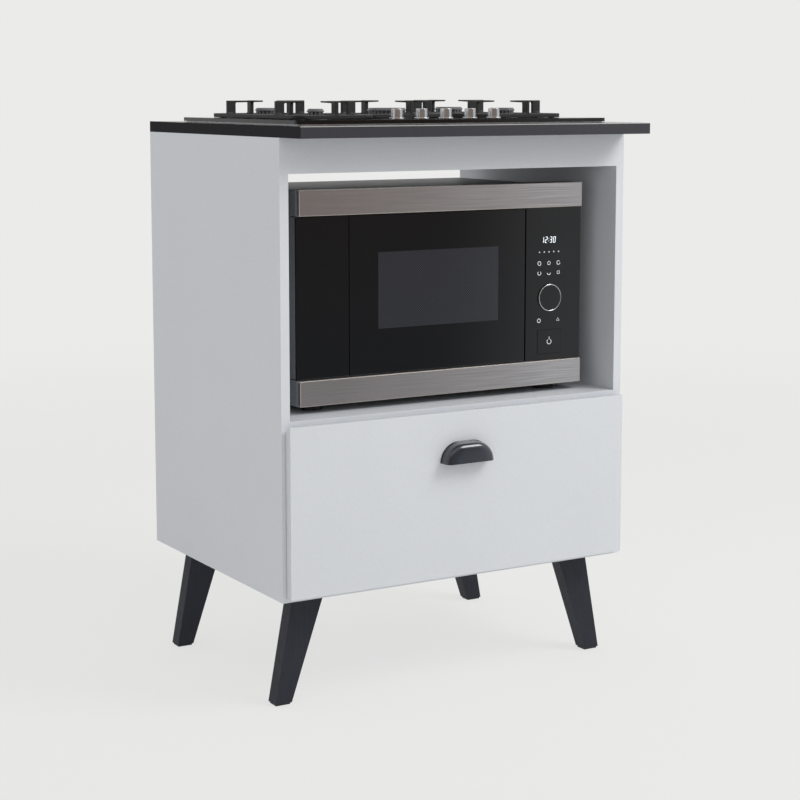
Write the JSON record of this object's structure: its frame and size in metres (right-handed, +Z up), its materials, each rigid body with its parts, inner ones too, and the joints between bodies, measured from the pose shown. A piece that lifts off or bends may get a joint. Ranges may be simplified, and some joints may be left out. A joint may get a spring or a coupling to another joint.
{
  "type": "oven base cabinet",
  "caption": "White board kitchen cabinet on splayed legs with a gas hob in its worktop, a microwave oven in an open-backed niche and a wide drawer with a cup handle.",
  "frame": {"origin": "on the floor, under the middle of the worktop's outline", "axes": "+Z up, the drawer and the oven door face -Y, +X to the right of someone facing the cabinet"},
  "size_m": [0.65, 0.56, 0.956],
  "materials": {
    "graphite_laminate": "satin graphite laminate on board",
    "white_laminate": "satin white laminate on board",
    "hardboard": "thin white-faced hardboard",
    "beech": "raw turned beech",
    "zinc_plate": "zinc-plated steel",
    "black_lacquer": "satin black lacquer on wood",
    "black_plastic": "moulded black plastic",
    "white_enamel": "powder-coated sheet steel",
    "roller_nylon": "natural nylon",
    "slate_gloss": "glossy slate lacquer",
    "black_glass": "back-printed black toughened glass",
    "seal_strip": "bright edge strip",
    "tray_steel": "galvanised sheet steel",
    "burner_aluminium": "cast aluminium",
    "cap_enamel": "grey enamelled steel",
    "cast_iron": "matt enamelled cast iron",
    "brass": "plain brass",
    "knob_steel": "turned brushed metal",
    "grey_enamel": "grey coated sheet steel",
    "cavity_enamel": "light grey enamel",
    "trim_steel": "brushed stainless steel",
    "dial_plastic": "glossy black plastic",
    "clear_glass": "clear toughened glass",
    "power_steel": "coated steel laminations and sheet"
  },
  "bodies": {
    "cabinet": {"worktop": "graphite_laminate", "left_side_panel": "white_laminate", "right_side_panel": "white_laminate", "bottom_panel": "white_laminate", "niche_shelf": "white_laminate", "front_top_rail": "white_laminate", "rear_top_rail": "white_laminate", "back_panel": "hardboard", "carcass_dowels": "beech", "cam_fittings": "zinc_plate", "worktop_brackets": "zinc_plate", "leg_front_left": "black_lacquer", "leg_front_right": "black_lacquer", "leg_back_left": "black_lacquer", "leg_back_right": "black_lacquer", "leg_fixings": "zinc_plate", "foot_glides": "black_plastic", "runner_rails": "white_enamel", "panel_screws": "zinc_plate", "hob_glass": "black_glass", "hob_seal": "seal_strip", "hob_tray": "tray_steel", "burner_cups": "burner_aluminium", "burner_crowns": "burner_aluminium", "burner_caps": "cap_enamel", "grate_left": "cast_iron", "grate_centre": "cast_iron", "grate_right": "cast_iron", "gas_manifold": "brass", "gas_valves": "brass", "hob_clamps": "zinc_plate", "oven_casing": "grey_enamel", "oven_base": "grey_enamel", "oven_cavity": "cavity_enamel", "oven_front_frame": "black_plastic", "oven_control_panel": "black_glass", "oven_trims": "trim_steel", "oven_feet": "black_plastic", "oven_turntable_motor": "tray_steel", "oven_power_pack": "power_steel"},
    "cabinet_rollers": {"cabinet_rollers": "roller_nylon"},
    "drawer": {"drawer_front": "white_laminate", "drawer_sides": "white_laminate", "drawer_back": "white_laminate", "drawer_bottom": "hardboard", "drawer_runners": "white_enamel", "cup_handle": "slate_gloss", "drawer_fasteners": "zinc_plate"},
    "drawer_rollers": {"drawer_rollers": "roller_nylon"},
    "hob_knob_1": {"hob_knob_1": "knob_steel"},
    "hob_knob_2": {"hob_knob_2": "knob_steel"},
    "hob_knob_3": {"hob_knob_3": "knob_steel"},
    "hob_knob_4": {"hob_knob_4": "knob_steel"},
    "hob_knob_5": {"hob_knob_5": "knob_steel"},
    "oven_door": {"oven_door_frame": "black_plastic", "oven_door_panes": "black_glass"},
    "oven_dial": {"oven_dial": "dial_plastic"},
    "oven_button": {"oven_button": "dial_plastic"},
    "turntable": {"oven_turntable": "clear_glass"},
    "roller_ring": {"oven_roller_ring": "roller_nylon"}
  },
  "joints": [
    {"name": "drawer_slide", "type": "slide", "parent": "cabinet", "child": "drawer", "axis": [0, -1, 0], "range_m": [0, 0.33]},
    {"name": "cabinet_roller_spin", "type": "hinge", "parent": "cabinet", "child": "cabinet_rollers", "pos_m": [0, -0.192, 0.2268], "axis": [1, 0, 0], "range_deg": [0, 2110]},
    {"name": "drawer_roller_spin", "type": "hinge", "parent": "drawer", "child": "drawer_rollers", "pos_m": [0, 0.224, 0.2268], "axis": [1, 0, 0], "range_deg": [0, 2110]},
    {"name": "hob_knob_1_turn", "type": "hinge", "parent": "cabinet", "child": "hob_knob_1", "pos_m": [-0.092, -0.165, 0.933], "axis": [0, 0, 1], "range_deg": [0, 210]},
    {"name": "hob_knob_2_turn", "type": "hinge", "parent": "cabinet", "child": "hob_knob_2", "pos_m": [-0.046, -0.165, 0.933], "axis": [0, 0, 1], "range_deg": [0, 210]},
    {"name": "hob_knob_3_turn", "type": "hinge", "parent": "cabinet", "child": "hob_knob_3", "pos_m": [0, -0.165, 0.933], "axis": [0, 0, 1], "range_deg": [0, 210]},
    {"name": "hob_knob_4_turn", "type": "hinge", "parent": "cabinet", "child": "hob_knob_4", "pos_m": [0.046, -0.165, 0.933], "axis": [0, 0, 1], "range_deg": [0, 210]},
    {"name": "hob_knob_5_turn", "type": "hinge", "parent": "cabinet", "child": "hob_knob_5", "pos_m": [0.092, -0.165, 0.933], "axis": [0, 0, 1], "range_deg": [0, 210]},
    {"name": "oven_door_hinge", "type": "hinge", "parent": "cabinet", "child": "oven_door", "pos_m": [-0.2625, -0.149, 0.649], "axis": [0, 0, -1], "range_deg": [0, 100]},
    {"name": "oven_dial_turn", "type": "hinge", "parent": "cabinet", "child": "oven_dial", "pos_m": [0.2095, -0.161, 0.6255], "axis": [0, 1, 0], "continuous": true},
    {"name": "oven_button_press", "type": "slide", "parent": "cabinet", "child": "oven_button", "axis": [0, 1, 0], "range_m": [0, 0.0025], "stiffness_N_per_m": 400},
    {"name": "turntable_spin", "type": "hinge", "parent": "cabinet", "child": "turntable", "pos_m": [-0.00925, 0.0325, 0.5531], "axis": [0, 0, 1], "continuous": true},
    {"name": "roller_ring_spin", "type": "hinge", "parent": "cabinet", "child": "roller_ring", "pos_m": [-0.00925, 0.0325, 0.5448], "axis": [0, 0, 1], "continuous": true}
  ],
  "couplings": [
    {"joint": "cabinet_roller_spin", "follows": "drawer_slide", "rad_per_m": 111.11},
    {"joint": "drawer_roller_spin", "follows": "drawer_slide", "rad_per_m": 111.11},
    {"joint": "roller_ring_spin", "follows": "turntable_spin", "ratio": 0.5}
  ]
}
